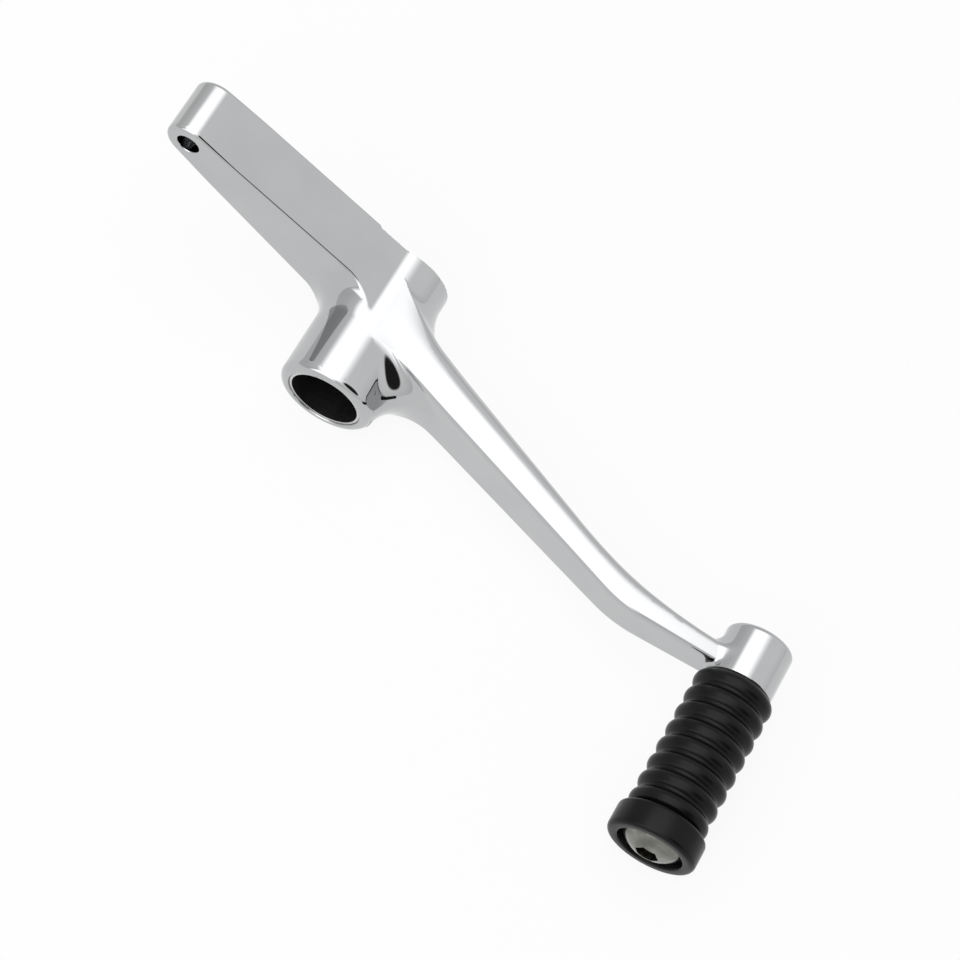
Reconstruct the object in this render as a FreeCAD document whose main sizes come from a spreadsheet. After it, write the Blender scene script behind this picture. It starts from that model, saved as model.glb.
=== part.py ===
import FreeCAD, Part
import math
import os
import Sketcher

# A toe gear shift lever for a motorbike: one plated casting that turns on a pivot shaft, with a rubber peg
# for the rider's toe at one end and a hole for the shift rod at the other. Millimetres and degrees.
# The pivot axis is Y with the hub's middle at the origin, the toe peg's axis is parallel to it along +X,
# and the peg's free end points outboard, to -Y.

SIZES = [
    # pivot hub and its two pressed bushes
    ("hub_length", 45.0),
    ("hub_wall", 3.1),
    ("hub_lip_round", 2.4),
    ("bush_outer_diameter", 22.0),
    ("bush_wall", 1.0),
    ("bush_recess", 0.5),
    ("bush_gap", 6.0),
    # link arm; its inboard side stands a little proud of the spot-faced end of the hub
    ("link_reach", 72.5),
    ("link_rise", 29.9),
    ("link_width", 17.2),
    ("link_proud", 0.6),
    ("link_tip_radius", 6.8),
    ("link_hole_diameter", 6.6),
    ("link_flare", 8.0),
    ("link_root_step", 1.6),
    ("link_root_fillet", 6.0),
    ("link_edge_round", 0.5),
    ("spot_face_margin", 6.6),
    # toe arm: its outline from above is two sloping sides, each bent parallel to X near the toe.
    # Its root is set back from the hub's mouth, and each run goes from the boss's axis back to a bend.
    ("toe_reach", 135.0),
    ("toe_offset", 34.4),
    ("arm_toe_width", 6.0),
    ("arm_root_set_back", 20.8),
    ("arm_root_width", 13.5),
    ("arm_run_outboard", 37.8),
    ("arm_run_inboard", 35.0),
    ("arm_bend_radius_outboard", 42.0),
    ("arm_bend_radius_inboard", 130.0),
    ("arm_root_step", 1.7),
    ("arm_toe_depth", 12.4),
    ("arm_edge_round", 2.2),
    ("arm_root_fillet", 9.0),
    # boss that carries the peg
    ("boss_diameter", 19.6),
    ("boss_step", 1.2),
    ("boss_floor", 2.0),
    ("boss_edge_round", 1.6),
    ("boss_fillet", 5.2),
    ("thread_diameter", 10.0),
    ("thread_clearance", 0.05),
    ("thread_engagement", 11.5),
    ("thread_run_out", 1.9),
    # peg: rubber on a spacer tube, held by a button-head screw and a spring washer
    ("rubber_wall", 2.5),
    ("rib_height", 1.45),
    ("rib_pitch", 5.45),
    ("rib_groove", 0.9),
    ("rib_root", 0.3),
    ("rib_count", 8),
    ("rib_end_gap", 0.3),
    ("flange_wall", 3.35),
    ("flange_thickness", 8.1),
    ("flange_round", 2.6),
    ("shoulder_round", 1.2),
    ("recess_clearance", 0.4),
    ("recess_depth", 5.7),
    ("sleeve_wall", 2.25),
    ("sleeve_clearance", 0.25),
    ("washer_margin", 0.3),
    ("washer_clearance", 0.15),
    ("washer_thickness", 2.2),
    ("washer_gap", 1.6),
    ("screw_tip", 1.0),
    ("screw_head_diameter", 17.5),
    ("screw_head_height", 5.5),
    ("screw_head_rim", 1.0),
    ("screw_hex", 6.0),
    ("screw_hex_depth", 3.2),
]

# Sizes that follow from the ones above, so that what fits together changes together.
FOLLOWING = [
    ("bush_length", "=(hub_length - bush_gap) / 2 - bush_recess"),
    ("hub_diameter", "=bush_outer_diameter + 2 * hub_wall"),
    ("spot_face_diameter", "=hub_diameter + 2 * spot_face_margin"),
    ("link_root_radius", "=hub_diameter / 2 - link_root_step"),
    ("arm_root_depth", "=hub_diameter - 2 * arm_root_step"),
    ("arm_root_outboard", "=hub_length / 2 - arm_root_set_back"),
    ("arm_root_inboard", "=arm_root_width - arm_root_outboard"),
    ("arm_toe_outboard", "=toe_offset"),
    ("arm_toe_inboard", "=toe_offset - arm_toe_width"),
    ("arm_bend_outboard", "=toe_reach - arm_run_outboard"),
    ("arm_bend_inboard", "=toe_reach - arm_run_inboard"),
    ("boss_seat", "=toe_offset + boss_step"),
    ("thread_depth", "=thread_engagement + thread_run_out"),
    ("boss_length", "=thread_depth + boss_floor"),
    ("sleeve_inner_diameter", "=thread_diameter + 2 * sleeve_clearance"),
    ("sleeve_outer_diameter", "=sleeve_inner_diameter + 2 * sleeve_wall"),
    ("rubber_groove_diameter", "=sleeve_outer_diameter + 2 * rubber_wall"),
    ("rib_diameter", "=rubber_groove_diameter + 2 * rib_height"),
    ("rubber_length", "=rib_count * rib_pitch + rib_end_gap + flange_thickness"),
    ("washer_inner_diameter", "=thread_diameter + 2 * washer_clearance"),
    ("washer_outer_diameter", "=screw_head_diameter + 2 * washer_margin"),
    ("recess_diameter", "=washer_outer_diameter + 2 * recess_clearance"),
    ("flange_diameter", "=recess_diameter + 2 * flange_wall"),
    ("screw_length", "=rubber_length - recess_depth + washer_thickness + thread_engagement"),
]

ORIGIN = -1
START = 1
END = 2
MIDDLE = 3
NEAR = 1e-4
HUB_END = "Sizes.hub_length / 2"
LINK_TIP = (
    "-Sizes.link_reach * cos(Sizes.link_rise * 1 deg)",
    "Sizes.link_reach * sin(Sizes.link_rise * 1 deg)",
)

doc = FreeCAD.newDocument("ShiftLever")


def make_sheet():
    """The driving dimensions and those that follow from them, one named cell each."""
    sheet = doc.addObject("Spreadsheet::Sheet", "Sizes")
    for row, (alias, value) in enumerate(SIZES + FOLLOWING, start=1):
        sheet.set(f"A{row}", alias)
        sheet.set(f"B{row}", str(value))
        sheet.setAlias(f"B{row}", alias)
    doc.recompute()
    return sheet


sizes = make_sheet()


def size(alias):
    return float(sizes.get(alias))


def make_body(label):
    body = doc.addObject("PartDesign::Body", label)
    body.Label = label
    return body


def origin_feature(body, role):
    """One of the planes or axes that a body is built on."""
    return next(f for f in body.Origin.OriginFeatures if f.Role == role)


def make_sketch(body, name, role, offset=None):
    """A sketch on one of the body's own planes; offset is an expression along the plane's normal."""
    sketch = body.newObject("Sketcher::SketchObject", name)
    sketch.AttachmentSupport = [(origin_feature(body, role), "")]
    sketch.MapMode = "FlatFace"
    if offset:
        sketch.setExpression("AttachmentOffset.Base.z", offset)
    return sketch


def constrain(sketch, kind, *args, name=None, expression=None):
    index = sketch.addConstraint(Sketcher.Constraint(kind, *args))
    if expression:
        sketch.renameConstraint(index, name)
        sketch.setExpression(f"Constraints.{name}", expression)
    return index


def value_of(sketch, expression):
    result = sketch.evalExpression(expression)
    return float(getattr(result, "Value", result))


def point_at(sketch, across, up):
    return FreeCAD.Vector(value_of(sketch, across), value_of(sketch, up), 0)


def place_point(sketch, geometry, end, name, across, up):
    """Hold a point of the sketch at expressions for its two coordinates, measured from the origin."""
    constrain(sketch, "DistanceX", ORIGIN, START, geometry, end, value_of(sketch, across),
              name=f"{name}_across", expression=across)
    constrain(sketch, "DistanceY", ORIGIN, START, geometry, end, value_of(sketch, up),
              name=f"{name}_up", expression=up)


def add_outline(sketch, corners, arcs=()):
    """A closed outline through named corners (name, across, up), each held by expressions.

    arcs maps the number of an edge to the expression of its radius; a minus sign bends it to the right.
    """
    arcs = dict(arcs)
    points = [point_at(sketch, across, up) for _, across, up in corners]
    count = len(points)
    edges = []
    for i in range(count):
        a = points[i]
        b = points[(i + 1) % count]
        if i in arcs:
            radius = value_of(sketch, arcs[i])
            edges.append(sketch.addGeometry(arc_between(a, b, radius)))
        else:
            edges.append(sketch.addGeometry(Part.LineSegment(a, b)))
    for i, edge in enumerate(edges):
        following = edges[(i + 1) % count]
        constrain(sketch, "Coincident", edge, first_or_last(sketch, edge, points[(i + 1) % count]),
                  following, first_or_last(sketch, following, points[(i + 1) % count]))
    for i, (name, across, up) in enumerate(corners):
        place_point(sketch, edges[i], first_or_last(sketch, edges[i], points[i]), name, across, up)
    for i, radius in arcs.items():
        constrain(sketch, "Radius", edges[i], abs(value_of(sketch, radius)),
                  name=f"radius_{i}", expression=f"abs({radius})")
    return edges


def arc_between(a, b, radius):
    """The short arc from a to b; it bulges to the left of that way, or to the right if radius is negative."""
    chord = b - a
    half = chord.Length / 2
    left = FreeCAD.Vector(-chord.y, chord.x, 0).normalize()
    side = math.copysign(1, radius)
    rise = abs(radius) - math.sqrt(max(radius * radius - half * half, 0))
    middle = (a + b) * 0.5 + left * (side * rise)
    return Part.Arc(a, middle, b)


def first_or_last(sketch, geometry, point):
    """Which end of an edge lies on the point; an arc stores its ends counter-clockwise."""
    start = sketch.getPoint(geometry, START)
    end = sketch.getPoint(geometry, END)
    return START if start.distanceToPoint(point) <= end.distanceToPoint(point) else END


def add_circle(sketch, name, across, up, diameter):
    width = value_of(sketch, diameter)
    centre = point_at(sketch, across, up)
    circle = sketch.addGeometry(Part.Circle(centre, FreeCAD.Vector(0, 0, 1), width / 2))
    place_point(sketch, circle, MIDDLE, name, across, up)
    constrain(sketch, "Diameter", circle, width, name=f"{name}_dia", expression=diameter)
    return circle


def pad(body, sketch, name, length, midplane=False, reverse=False):
    feature = body.newObject("PartDesign::Pad", name)
    feature.Profile = sketch
    feature.setExpression("Length", length)
    feature.Midplane = midplane
    feature.Reversed = reverse
    doc.recompute()
    return feature


def pocket(body, sketch, name, length=None, reverse=False):
    """A cut to a given depth, or right through both ways, that must remove something."""
    before = body.Shape.Volume
    feature = body.newObject("PartDesign::Pocket", name)
    feature.Profile = sketch
    feature.Reversed = reverse
    if length:
        feature.setExpression("Length", length)
    else:
        feature.Type = "ThroughAll"
        feature.Midplane = True
    doc.recompute()
    if not feature.Shape.Volume < before - NEAR:
        raise RuntimeError(f"{name} cut nothing")
    return feature


def turn(body, sketch, name, kind="PartDesign::Revolution"):
    """A full turn of a sketch about its own vertical axis, which is the piece's Y axis."""
    feature = body.newObject(kind, name)
    feature.Profile = sketch
    feature.ReferenceAxis = (sketch, ["V_Axis"])
    feature.Angle = 360
    doc.recompute()
    return feature


def fillet(body, name, edges, radius):
    base = body.Tip
    feature = body.newObject("PartDesign::Fillet", name)
    feature.Base = (base, edges)
    feature.setExpression("Radius", radius)
    doc.recompute()
    return feature


def edge_names(shape, wanted):
    return [f"Edge{i}" for i, edge in enumerate(shape.Edges, start=1) if wanted(edge)]


def toe_arm_outline(body):
    """The arm from above: root edge on the pivot axis, two sloping sides, each with one bend."""
    sketch = make_sketch(body, "arm_outline", "XY_Plane")
    outer_slope, outer_run = add_bent_side(sketch, "outboard", "-Sizes.arm_root_outboard")
    inner_slope, inner_run = add_bent_side(sketch, "inboard", "Sizes.arm_root_inboard")
    join_ends(sketch, outer_slope, inner_slope, START)
    join_ends(sketch, outer_run, inner_run, END)
    return sketch


def add_bent_side(sketch, side, root_up):
    """A sloping line, a tangent arc and a straight run to the toe; returns the two straight edges."""
    toe_up = f"-Sizes.arm_toe_{side}"
    root = point_at(sketch, "0", root_up)
    bend = point_at(sketch, f"Sizes.arm_bend_{side}", toe_up)
    toe = point_at(sketch, "Sizes.toe_reach", toe_up)
    start, middle, finish = bend_points(root, bend, toe, size(f"arm_bend_radius_{side}"))
    slope = sketch.addGeometry(Part.LineSegment(root, start))
    arc = sketch.addGeometry(Part.Arc(start, middle, finish))
    run = sketch.addGeometry(Part.LineSegment(finish, toe))
    corner = sketch.addGeometry(Part.Point(bend), True)
    constrain(sketch, "Tangent", slope, END, arc, first_or_last(sketch, arc, start))
    constrain(sketch, "Tangent", arc, first_or_last(sketch, arc, finish), run, START)
    constrain(sketch, "Horizontal", run)
    constrain(sketch, "PointOnObject", corner, START, slope)
    constrain(sketch, "PointOnObject", corner, START, run)
    place_point(sketch, slope, START, f"root_{side}", "0", root_up)
    place_point(sketch, run, END, f"toe_{side}", "Sizes.toe_reach", toe_up)
    constrain(sketch, "DistanceX", ORIGIN, START, corner, START, bend.x,
              name=f"bend_{side}", expression=f"Sizes.arm_bend_{side}")
    constrain(sketch, "Radius", arc, size(f"arm_bend_radius_{side}"),
              name=f"bend_radius_{side}", expression=f"Sizes.arm_bend_radius_{side}")
    return slope, run


def bend_points(root, bend, toe, radius):
    """Start, middle and end of the arc that rounds the corner at the bend."""
    slope_way = (root - bend).normalize()
    run_way = (toe - bend).normalize()
    half = slope_way.getAngle(run_way) / 2
    back = radius / math.tan(half)
    centre = bend + (slope_way + run_way).normalize() * (radius / math.sin(half))
    middle = centre + (bend - centre).normalize() * radius
    return bend + slope_way * back, middle, bend + run_way * back


def join_ends(sketch, first, second, end):
    """A straight edge between the same ends of two lines."""
    line = sketch.addGeometry(Part.LineSegment(sketch.getPoint(first, end), sketch.getPoint(second, end)))
    constrain(sketch, "Coincident", line, START, first, end)
    constrain(sketch, "Coincident", line, END, second, end)


def make_toe_arm(body):
    """The arm as a padded outline whose top and bottom are planed to its taper, with rounded long edges."""
    pad(body, toe_arm_outline(body), "arm_blank", "Sizes.arm_root_depth", midplane=True)
    for way, sign in (("top", ""), ("bottom", "-")):
        sketch = make_sketch(body, f"arm_{way}_plane", "XZ_Plane")
        add_outline(sketch, [
            ("root", "0", f"{sign}Sizes.arm_root_depth / 2"),
            ("toe", "Sizes.toe_reach", f"{sign}Sizes.arm_toe_depth / 2"),
            ("clear", "Sizes.toe_reach", f"{sign}Sizes.arm_root_depth / 2"),
        ])
        pocket(body, sketch, f"arm_{way}_taper")
    long_edges = edge_names(body.Shape, lambda edge: edge.BoundBox.XLength > NEAR)
    fillet(body, "arm_long_edges", long_edges, "Sizes.arm_edge_round")


def link_outline(body):
    """The link arm from the side: a round tip and two straight sides that concave arcs lead into the hub."""
    sketch = make_sketch(body, "link_outline", "XZ_Plane", f"-{HUB_END} - Sizes.link_proud")
    hub_radius = size("hub_diameter") / 2
    tip_radius = size("link_tip_radius")
    fillet_radius = size("link_root_fillet")
    root = size("link_root_radius")
    rise = math.radians(180 - size("link_rise"))
    lean = math.acos((root - tip_radius) / size("link_reach"))
    lead = math.acos((root + fillet_radius) / (hub_radius + fillet_radius))
    top, low = rise - lean, rise + lean
    hub = add_arc(sketch, FreeCAD.Vector(0, 0, 0), hub_radius, low - lead - 2 * math.pi, top + lead)
    tip = add_arc(sketch, polar(size("link_reach"), rise), tip_radius, top, low)
    far = hub_radius + fillet_radius
    top_root = add_arc(sketch, polar(far, top + lead), fillet_radius, top + math.pi, top + lead + math.pi)
    low_root = add_arc(sketch, polar(far, low - lead), fillet_radius, low - lead + math.pi, low + math.pi)
    top_side = join_points(sketch, (top_root, START), (tip, START))
    low_side = join_points(sketch, (tip, END), (low_root, END))
    for first, second in (
        ((hub, END), (top_root, END)),
        ((top_root, START), (top_side, START)),
        ((top_side, END), (tip, START)),
        ((tip, END), (low_side, START)),
        ((low_side, END), (low_root, END)),
        ((low_root, START), (hub, START)),
    ):
        constrain(sketch, "Tangent", *first, *second)
    constrain(sketch, "Coincident", hub, MIDDLE, ORIGIN, START)
    place_point(sketch, tip, MIDDLE, "tip", *LINK_TIP)
    constrain(sketch, "Radius", hub, hub_radius, name="hub_radius", expression="Sizes.hub_diameter / 2")
    constrain(sketch, "Radius", tip, tip_radius, name="tip_radius", expression="Sizes.link_tip_radius")
    for name, arc, side in (("top", top_root, top_side), ("low", low_root, low_side)):
        constrain(sketch, "Radius", arc, fillet_radius,
                  name=f"{name}_fillet", expression="Sizes.link_root_fillet")
        constrain(sketch, "Distance", ORIGIN, START, side, root,
                  name=f"{name}_root", expression="Sizes.link_root_radius")
    return sketch


def polar(distance, angle):
    return FreeCAD.Vector(math.cos(angle), math.sin(angle), 0) * distance


def add_arc(sketch, centre, radius, start, end):
    circle = Part.Circle(centre, FreeCAD.Vector(0, 0, 1), radius)
    return sketch.addGeometry(Part.ArcOfCircle(circle, start, end))


def join_points(sketch, first, second):
    return sketch.addGeometry(Part.LineSegment(sketch.getPoint(*first), sketch.getPoint(*second)))


def make_link_arm(body):
    """The arm with a flat inboard side; its outboard face sweeps into the hub in a concave flare."""
    pad(body, link_outline(body), "link_blank", "Sizes.link_width + Sizes.link_flare")
    cut = make_sketch(body, "link_flare_cut", "XY_Plane")
    face = f"{HUB_END} + Sizes.link_proud - Sizes.link_width"
    beyond = "Sizes.link_reach + 2 * Sizes.link_tip_radius"
    add_outline(cut, [
        ("hub", "Sizes.hub_diameter / 2", f"{face} - Sizes.link_flare"),
        ("face", "Sizes.hub_diameter / 2 + Sizes.link_flare", face),
        ("far_face", beyond, face),
        ("far_hub", beyond, f"{face} - Sizes.link_flare"),
    ], {0: "Sizes.link_flare"})
    turn(body, cut, "link_flare", "PartDesign::Groove")
    proud = size("hub_length") / 2 + size("link_proud")
    fillet(body, "inboard_rim", edge_names(body.Shape, lambda e: lies_on(e, proud)), "Sizes.link_edge_round")
    spot = make_sketch(body, "spot_face_circle", "XZ_Plane", f"-{HUB_END}")
    add_circle(spot, "spot", "0", "0", "Sizes.spot_face_diameter")
    pocket(body, spot, "spot_face", "Sizes.link_proud")


def lies_on(edge, y):
    return abs(edge.BoundBox.YMin - y) < NEAR and abs(edge.BoundBox.YMax - y) < NEAR


def on_cylinder(face, radius, x):
    """Whether a face is a cylinder of this radius about the line parallel to Y through x."""
    surface = face.Surface
    if not isinstance(surface, Part.Cylinder):
        return False
    off = math.hypot(surface.Center.x - x, surface.Center.z)
    return abs(surface.Radius - radius) < NEAR and off < NEAR


def seam_edges(shape, radius, x, belongs):
    """Edges that a cylinder of the lever shares with other faces, where belongs(edge) is true."""
    names = []
    for i, edge in enumerate(shape.Edges, start=1):
        faces = shape.ancestorsOfType(edge, Part.Face)
        touching = [face for face in faces if on_cylinder(face, radius, x)]
        if len(faces) == 2 and len(touching) == 1 and belongs(edge):
            names.append(f"Edge{i}")
    return names


def make_lever():
    """The casting: hub, link arm, toe arm and peg boss, blended together, then drilled."""
    arm = make_body("toe_arm_form")
    make_toe_arm(arm)

    body = make_body("shift_lever")
    make_link_arm(body)
    hub = make_sketch(body, "hub_circle", "XZ_Plane")
    add_circle(hub, "hub", "0", "0", "Sizes.hub_diameter")
    pad(body, hub, "hub", "Sizes.hub_length", midplane=True)
    joined = body.newObject("PartDesign::Boolean", "arm_joined")
    joined.Type = "Fuse"
    joined.setObjects([arm])
    doc.recompute()
    seam = seam_edges(body.Shape, size("hub_diameter") / 2, 0, faces_the_toe)
    fillet(body, "arm_root_blend", seam, "Sizes.arm_root_fillet")

    boss = make_sketch(body, "boss_circle", "XZ_Plane", "Sizes.boss_seat")
    add_circle(boss, "boss", "Sizes.toe_reach", "0", "Sizes.boss_diameter")
    pad(body, boss, "boss", "Sizes.boss_length", reverse=True)
    seam = seam_edges(body.Shape, size("boss_diameter") / 2, size("toe_reach"), meets_the_arm)
    fillet(body, "boss_blend", seam, "Sizes.boss_fillet")
    drill_lever(body)
    round_lever(body)
    return body


def faces_the_toe(edge):
    """The closed run where the toe arm leaves the hub; the hub's own ends and the link arm lie elsewhere."""
    box = edge.BoundBox
    end = size("hub_length") / 2
    clear_of_ends = box.YMin > -end + NEAR and box.YMax < end - NEAR
    top_tangent = size("hub_diameter") / 2 * math.sin(math.radians(size("link_rise")))
    return clear_of_ends and box.XMin > top_tangent - size("arm_edge_round")


def meets_the_arm(edge):
    """The run where the toe arm enters the boss, clear of the boss's two ends."""
    box = edge.BoundBox
    seat = -size("boss_seat")
    return box.YMin > seat + NEAR and box.YMax < seat + size("boss_length") - NEAR


def drill_lever(body):
    """The bush bore through the hub, the shift-rod hole, and the blind hole for the peg's screw."""
    bore = make_sketch(body, "bush_bore_circle", "XZ_Plane")
    add_circle(bore, "bore", "0", "0", "Sizes.bush_outer_diameter")
    pocket(body, bore, "bush_bore")
    rod = make_sketch(body, "link_hole_circle", "XZ_Plane")
    add_circle(rod, "rod", *LINK_TIP, "Sizes.link_hole_diameter")
    pocket(body, rod, "link_hole")
    screw = make_sketch(body, "screw_hole_circle", "XZ_Plane", "Sizes.boss_seat")
    add_circle(screw, "screw", "Sizes.toe_reach", "0", "Sizes.thread_diameter + 2 * Sizes.thread_clearance")
    pocket(body, screw, "screw_hole", "Sizes.thread_depth")


def round_lever(body):
    """The lip at the hub's mouth and the boss's inboard rim."""
    mouth = -size("hub_length") / 2
    boss_end = size("boss_length") - size("boss_seat")
    reach = size("toe_reach")
    lip = edge_names(body.Shape, lambda e: is_circle(e, size("hub_diameter") / 2, 0, mouth))
    fillet(body, "hub_lip", lip, "Sizes.hub_lip_round")
    rim = edge_names(body.Shape, lambda e: is_circle(e, size("boss_diameter") / 2, reach, boss_end))
    fillet(body, "boss_rim", rim, "Sizes.boss_edge_round")


def is_circle(edge, radius, x, y):
    curve = edge.Curve
    if not isinstance(curve, Part.Circle) or abs(curve.Radius - radius) > NEAR:
        return False
    return curve.Center.distanceToPoint(FreeCAD.Vector(x, y, 0)) < NEAR


def make_bush(label, offset):
    """A plain pressed bush; offset is the expression of its outboard end along the pivot axis."""
    body = make_body(label)
    sketch = make_sketch(body, f"{label}_wall", "XY_Plane")
    inner = "Sizes.bush_outer_diameter / 2 - Sizes.bush_wall"
    outer = "Sizes.bush_outer_diameter / 2"
    add_outline(sketch, [
        ("inner_start", inner, "0"),
        ("outer_start", outer, "0"),
        ("outer_end", outer, "Sizes.bush_length"),
        ("inner_end", inner, "Sizes.bush_length"),
    ])
    turn(body, sketch, f"{label}_turned")
    body.setExpression("Placement.Base.y", offset)
    return body


def set_on_peg(body, stand_off="0"):
    """Put a piece turned about +Y on the peg's axis, so that it runs outboard from the boss's seat."""
    half_turn = FreeCAD.Rotation(FreeCAD.Vector(0, 0, 1), 180)
    body.Placement = FreeCAD.Placement(FreeCAD.Vector(0, 0, 0), half_turn)
    body.setExpression("Placement.Base.x", "Sizes.toe_reach")
    body.setExpression("Placement.Base.y", f"-Sizes.boss_seat - ({stand_off})")


def rubber_profile(body):
    """Half section of the rubber without its ribs: a sleeve, and a flange recessed for the screw's head."""
    sketch = make_sketch(body, "rubber_profile", "XY_Plane")
    bore = "Sizes.sleeve_outer_diameter / 2"
    groove = "Sizes.rubber_groove_diameter / 2"
    flange = "Sizes.flange_diameter / 2"
    shoulder = "Sizes.rubber_length - Sizes.flange_thickness"
    recess = "Sizes.recess_diameter / 2"
    floor = "Sizes.rubber_length - Sizes.recess_depth"
    add_outline(sketch, [
        ("bore_seat", bore, "0"),
        ("seat", groove, "0"),
        ("neck", groove, shoulder),
        ("shoulder", f"{flange} - Sizes.shoulder_round", shoulder),
        ("side", flange, f"{shoulder} + Sizes.shoulder_round"),
        ("rim", flange, "Sizes.rubber_length - Sizes.flange_round"),
        ("front", f"{flange} - Sizes.flange_round", "Sizes.rubber_length"),
        ("mouth", recess, "Sizes.rubber_length"),
        ("floor", recess, floor),
        ("bore_floor", bore, floor),
    ], {3: "-Sizes.shoulder_round", 5: "-Sizes.flange_round"})
    return sketch


def rib_profile(body):
    """Section of the first rib, a shallow arc that starts a little inside the sleeve."""
    sketch = make_sketch(body, "rib_profile", "XY_Plane")
    groove = "Sizes.rubber_groove_diameter / 2"
    half_chord = "(Sizes.rib_pitch - Sizes.rib_groove) / 2"
    height = "(Sizes.rib_diameter - Sizes.rubber_groove_diameter) / 2"
    radius = f"(({half_chord})^2 + ({height})^2) / (2 * ({height}))"
    middle = "Sizes.rib_pitch / 2"
    root = f"{groove} - Sizes.rib_root"
    add_outline(sketch, [
        ("root_start", root, f"{middle} - {half_chord}"),
        ("start", groove, f"{middle} - {half_chord}"),
        ("end", groove, f"{middle} + {half_chord}"),
        ("root_end", root, f"{middle} + {half_chord}"),
    ], {1: f"-({radius})"})
    return sketch


def make_rubber():
    """The toe rubber: the flanged sleeve with a row of rounded ribs round it."""
    body = make_body("peg_rubber")
    turn(body, rubber_profile(body), "rubber_sleeve")
    rib = turn(body, rib_profile(body), "rib")
    row = body.newObject("PartDesign::LinearPattern", "ribs")
    row.Originals = [rib]
    row.Direction = (origin_feature(body, "Y_Axis"), [""])
    row.setExpression("Length", "Sizes.rib_pitch * (Sizes.rib_count - 1)")
    row.setExpression("Occurrences", "Sizes.rib_count")
    body.Tip = row
    doc.recompute()
    set_on_peg(body)
    return body


def make_sleeve():
    """The steel spacer tube that the screw is tightened against."""
    body = make_body("peg_sleeve")
    sketch = make_sketch(body, "sleeve_wall", "XY_Plane")
    length = "Sizes.rubber_length - Sizes.recess_depth"
    add_outline(sketch, [
        ("inner_seat", "Sizes.sleeve_inner_diameter / 2", "0"),
        ("outer_seat", "Sizes.sleeve_outer_diameter / 2", "0"),
        ("outer_end", "Sizes.sleeve_outer_diameter / 2", length),
        ("inner_end", "Sizes.sleeve_inner_diameter / 2", length),
    ])
    turn(body, sketch, "sleeve_turned")
    set_on_peg(body)
    return body


def make_washer():
    """The split spring washer under the screw's head, tightened flat."""
    body = make_body("peg_lock_washer")
    sketch = make_sketch(body, "washer_section", "XY_Plane")
    add_outline(sketch, [
        ("inner_back", "Sizes.washer_inner_diameter / 2", "0"),
        ("outer_back", "Sizes.washer_outer_diameter / 2", "0"),
        ("outer_front", "Sizes.washer_outer_diameter / 2", "Sizes.washer_thickness"),
        ("inner_front", "Sizes.washer_inner_diameter / 2", "Sizes.washer_thickness"),
    ])
    turn(body, sketch, "washer_ring")
    split = make_sketch(body, "washer_split", "XZ_Plane")
    add_outline(split, [
        ("inside_low", "0", "-Sizes.washer_gap / 2"),
        ("outside_low", "Sizes.washer_outer_diameter", "-Sizes.washer_gap / 2"),
        ("outside_high", "Sizes.washer_outer_diameter", "Sizes.washer_gap / 2"),
        ("inside_high", "0", "Sizes.washer_gap / 2"),
    ])
    pocket(body, split, "washer_gap")
    set_on_peg(body, "Sizes.rubber_length - Sizes.recess_depth")
    return body


def make_screw():
    """A button-head screw with a hex socket; its shank runs through the spacer into the boss."""
    body = make_body("peg_screw")
    sketch = make_sketch(body, "screw_profile", "XY_Plane")
    shank = "Sizes.thread_diameter / 2"
    head = "Sizes.screw_head_diameter / 2"
    dome = "Sizes.screw_head_height - Sizes.screw_head_rim"
    radius = f"(({head})^2 + ({dome})^2) / (2 * ({dome}))"
    tip = "Sizes.screw_tip"
    add_outline(sketch, [
        ("end", "0", "-Sizes.screw_length"),
        ("tip", f"{shank} - {tip}", "-Sizes.screw_length"),
        ("shank_end", shank, f"{tip} - Sizes.screw_length"),
        ("neck", shank, "0"),
        ("bearing", head, "0"),
        ("rim", head, "Sizes.screw_head_rim"),
        ("crown", "0", "Sizes.screw_head_height"),
    ], {5: f"-({radius})"})
    turn(body, sketch, "screw_turned")
    socket = make_sketch(body, "socket_hexagon", "XZ_Plane", "-Sizes.screw_head_height")
    corner = "Sizes.screw_hex / sqrt(3)"
    turns = [60 * i for i in range(6)]
    add_outline(socket, [
        (f"corner_{turn_by}", f"{corner} * cos({turn_by} deg)", f"{corner} * sin({turn_by} deg)")
        for turn_by in turns
    ])
    pocket(body, socket, "hex_socket", "Sizes.screw_hex_depth", reverse=True)
    set_on_peg(body, "Sizes.rubber_length - Sizes.recess_depth + Sizes.washer_thickness")
    return body


def check_and_write(parts):
    """Stop on any failed object or bad shape, then write each piece to its own file."""
    doc.recompute()
    for item in doc.Objects:
        if "Invalid" in item.State or "Error" in item.State:
            raise RuntimeError(f"{item.Label} failed: {item.State}")
    for item in parts:
        shape = item.Shape
        if shape.isNull() or not shape.isValid() or len(shape.Solids) != 1:
            raise RuntimeError(f"{item.Label} is not one valid solid")
    os.makedirs("parts", exist_ok=True)
    for item in parts:
        item.Shape.exportStep(f"parts/{item.Label}.step")


check_and_write([
    make_lever(),
    make_bush("outer_bush", f"Sizes.bush_recess - {HUB_END}"),
    make_bush("inner_bush", f"{HUB_END} - Sizes.bush_recess - Sizes.bush_length"),
    make_sleeve(),
    make_rubber(),
    make_washer(),
    make_screw(),
])
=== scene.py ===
import math
import bmesh
import bpy
import numpy as np
from mathutils import Matrix, Vector


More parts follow.
